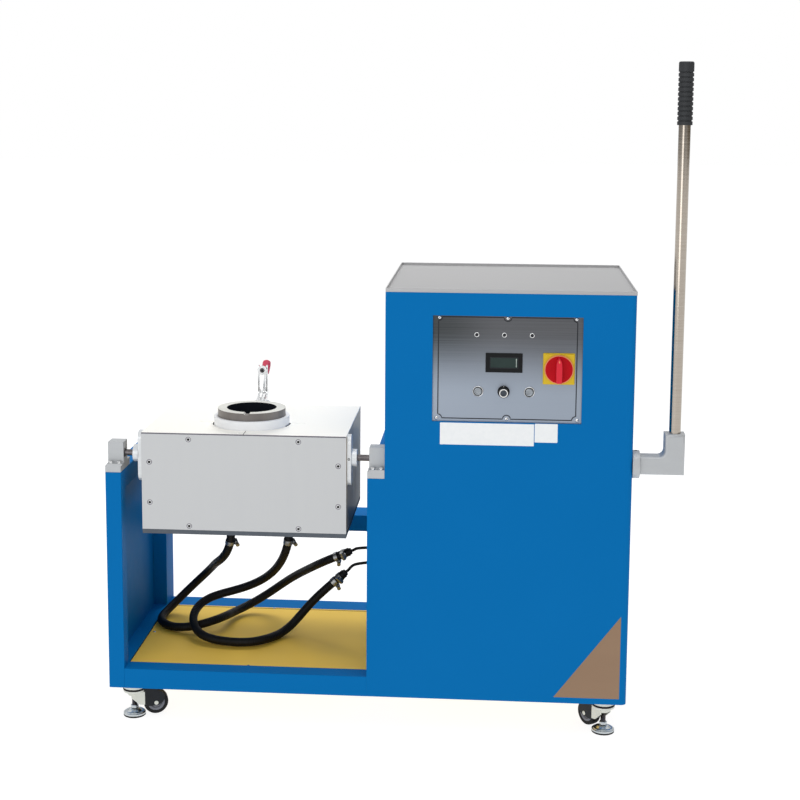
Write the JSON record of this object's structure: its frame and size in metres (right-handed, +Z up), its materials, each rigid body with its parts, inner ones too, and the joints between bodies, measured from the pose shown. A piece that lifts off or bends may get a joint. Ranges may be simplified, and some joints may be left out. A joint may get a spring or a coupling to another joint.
{
  "type": "tilting induction melting furnace",
  "caption": "Lever-tilted induction melting furnace: a control cabinet and a crucible head on a shaft in one welded tube frame, on levelling casters.",
  "frame": {"origin": "on the floor, at the centre of the machine's plan", "axes": "+X to the operator's right, towards the cabinet and the lever; +Y from the operator's side to the rear; +Z up"},
  "size_m": [1.264, 0.583, 1.475],
  "materials": {
    "blue_paint": "semi-gloss powder coat",
    "gold_tray": "satin",
    "brushed_steel": "brushed",
    "polished_steel": "polished",
    "control_steel": "brushed, dark",
    "cast_steel": "ground casting",
    "cream_diecast": "satin",
    "black_plastic": "matt",
    "black_rubber": "matt",
    "tyre_rubber": "matt",
    "yellow_plastic": "gloss",
    "red_plastic": "gloss",
    "graphite": "matt graphite",
    "ceramic": "matt ceramic",
    "insulating_board": "matt board",
    "copper": "bright copper",
    "brass": "bright",
    "module_grey": "satin",
    "capacitor_blue": "matt"
  },
  "bodies": {
    "frame": {"base_rails": "blue_paint", "bay_frame": "blue_paint", "cabinet_frame": "blue_paint", "left_side_panel": "blue_paint", "floor_trays": "gold_tray", "front_panel": "blue_paint", "cabinet_left_panel": "blue_paint", "cabinet_right_panel": "blue_paint", "cabinet_rear_panel": "blue_paint", "top_tray": "brushed_steel", "frame_fasteners": "polished_steel", "control_plate": "control_steel", "isolator_plate": "yellow_plastic", "power_meter": "black_plastic", "button_and_lamp_bezels": "polished_steel", "power_module": "module_grey", "capacitor_bank": "capacitor_blue", "output_transformer": "copper", "water_manifold": "brass", "bearing_blocks": "brushed_steel", "outboard_bearing": "brushed_steel", "hose_terminals": "copper", "left_hose": "black_rubber", "right_hose": "black_rubber", "caster_discs": "cream_diecast"},
    "head": {"head_front_plate": "brushed_steel", "head_rear_plate": "brushed_steel", "head_side_plates": "brushed_steel", "head_top_plate": "brushed_steel", "head_base_board": "insulating_board", "head_screws": "polished_steel", "crucible": "graphite", "crucible_collar": "ceramic", "induction_coil": "copper", "trunnions": "cast_steel", "lever_elbow": "cast_steel", "lever_tube": "polished_steel", "lever_grip": "black_rubber", "hose_fittings": "brass", "clamp_base": "polished_steel"},
    "clamp_arm": {"clamp_arm": "polished_steel"},
    "clamp_handle": {"clamp_handle": "red_plastic"},
    "clamp_link": {"clamp_link": "polished_steel"},
    "isolator_handle": {"isolator_handle": "red_plastic"},
    "power_knob": {"power_knob": "black_plastic"},
    "start_button": {"start_button": "polished_steel"},
    "stop_button": {"stop_button": "polished_steel"},
    "caster_fl": {"caster_housing_fl": "cream_diecast"},
    "wheel_fl": {"caster_wheel_fl": "tyre_rubber"},
    "foot_fl": {"levelling_foot_fl": "polished_steel"},
    "caster_fr": {"caster_housing_fr": "cream_diecast"},
    "wheel_fr": {"caster_wheel_fr": "tyre_rubber"},
    "foot_fr": {"levelling_foot_fr": "polished_steel"},
    "caster_rl": {"caster_housing_rl": "cream_diecast"},
    "wheel_rl": {"caster_wheel_rl": "tyre_rubber"},
    "foot_rl": {"levelling_foot_rl": "polished_steel"},
    "caster_rr": {"caster_housing_rr": "cream_diecast"},
    "wheel_rr": {"caster_wheel_rr": "tyre_rubber"},
    "foot_rr": {"levelling_foot_rr": "polished_steel"}
  },
  "joints": [
    {"name": "head_tilt", "type": "hinge", "parent": "frame", "child": "head", "pos_m": [0, -0.233, 0.615], "axis": [1, 0, 0], "range_deg": [0, 95], "deforming": ["left_hose", "right_hose"]},
    {"name": "clamp_close", "type": "hinge", "parent": "head", "child": "clamp_arm", "pos_m": [-0.3245, -0.001, 0.69], "axis": [1, 0, 0], "range_deg": [0, 90]},
    {"name": "clamp_handle_turn", "type": "hinge", "parent": "clamp_arm", "child": "clamp_handle", "pos_m": [-0.3245, 0.037, 0.706], "axis": [1, 0, 0], "range_deg": [-140, 0]},
    {"name": "clamp_link_turn", "type": "hinge", "parent": "head", "child": "clamp_link", "pos_m": [-0.3245, 0.027, 0.684], "axis": [1, 0, 0], "range_deg": [0, 105]},
    {"name": "isolator_turn", "type": "hinge", "parent": "frame", "child": "isolator_handle", "pos_m": [0.358, -0.263, 0.825], "axis": [0, 1, 0], "range_deg": [0, 90]},
    {"name": "power_knob_turn", "type": "hinge", "parent": "frame", "child": "power_knob", "pos_m": [0.241, -0.263, 0.773], "axis": [0, 1, 0], "range_deg": [0, 270]},
    {"name": "start_press", "type": "slide", "parent": "frame", "child": "start_button", "axis": [0, 1, 0], "range_m": [0, 0.003], "stiffness_N_per_m": 600, "springref_m": -0.002},
    {"name": "stop_press", "type": "slide", "parent": "frame", "child": "stop_button", "axis": [0, 1, 0], "range_m": [0, 0.003], "stiffness_N_per_m": 600, "springref_m": -0.002},
    {"name": "swivel_fl", "type": "hinge", "parent": "frame", "child": "caster_fl", "pos_m": [-0.586, -0.218, 0.07], "axis": [0, 0, 1], "continuous": true},
    {"name": "roll_fl", "type": "hinge", "parent": "caster_fl", "child": "wheel_fl", "pos_m": [-0.54035, -0.20317, 0.029], "axis": [-0.309, 0.9511, 0], "continuous": true},
    {"name": "level_fl", "type": "slide", "parent": "frame", "child": "foot_fl", "axis": [0, 0, 1], "range_m": [0, 0.004]},
    {"name": "swivel_fr", "type": "hinge", "parent": "frame", "child": "caster_fr", "pos_m": [0.474, -0.218, 0.07], "axis": [0, 0, 1], "continuous": true},
    {"name": "roll_fr", "type": "hinge", "parent": "caster_fr", "child": "wheel_fr", "pos_m": [0.44511, -0.17967, 0.029], "axis": [-0.7986, -0.6018, 0], "continuous": true},
    {"name": "level_fr", "type": "slide", "parent": "frame", "child": "foot_fr", "axis": [0, 0, 1], "range_m": [0, 0.004]},
    {"name": "swivel_rl", "type": "hinge", "parent": "frame", "child": "caster_rl", "pos_m": [-0.586, 0.217, 0.07], "axis": [0, 0, 1], "continuous": true},
    {"name": "roll_rl", "type": "hinge", "parent": "caster_rl", "child": "wheel_rl", "pos_m": [-0.54668, 0.24453, 0.029], "axis": [-0.5736, 0.8192, 0], "continuous": true},
    {"name": "level_rl", "type": "slide", "parent": "frame", "child": "foot_rl", "axis": [0, 0, 1], "range_m": [0, 0.004]},
    {"name": "swivel_rr", "type": "hinge", "parent": "frame", "child": "caster_rr", "pos_m": [0.474, 0.217, 0.07], "axis": [0, 0, 1], "continuous": true},
    {"name": "roll_rr", "type": "hinge", "parent": "caster_rr", "child": "wheel_rr", "pos_m": [0.43243, 0.241, 0.029], "axis": [-0.5, -0.866, 0], "continuous": true},
    {"name": "level_rr", "type": "slide", "parent": "frame", "child": "foot_rr", "axis": [0, 0, 1], "range_m": [0, 0.004]}
  ],
  "couplings": [
    {"joint": "clamp_handle_turn", "follows": "clamp_close", "ratio": -1.533},
    {"joint": "clamp_link_turn", "follows": "clamp_close", "ratio": 1.142}
  ]
}
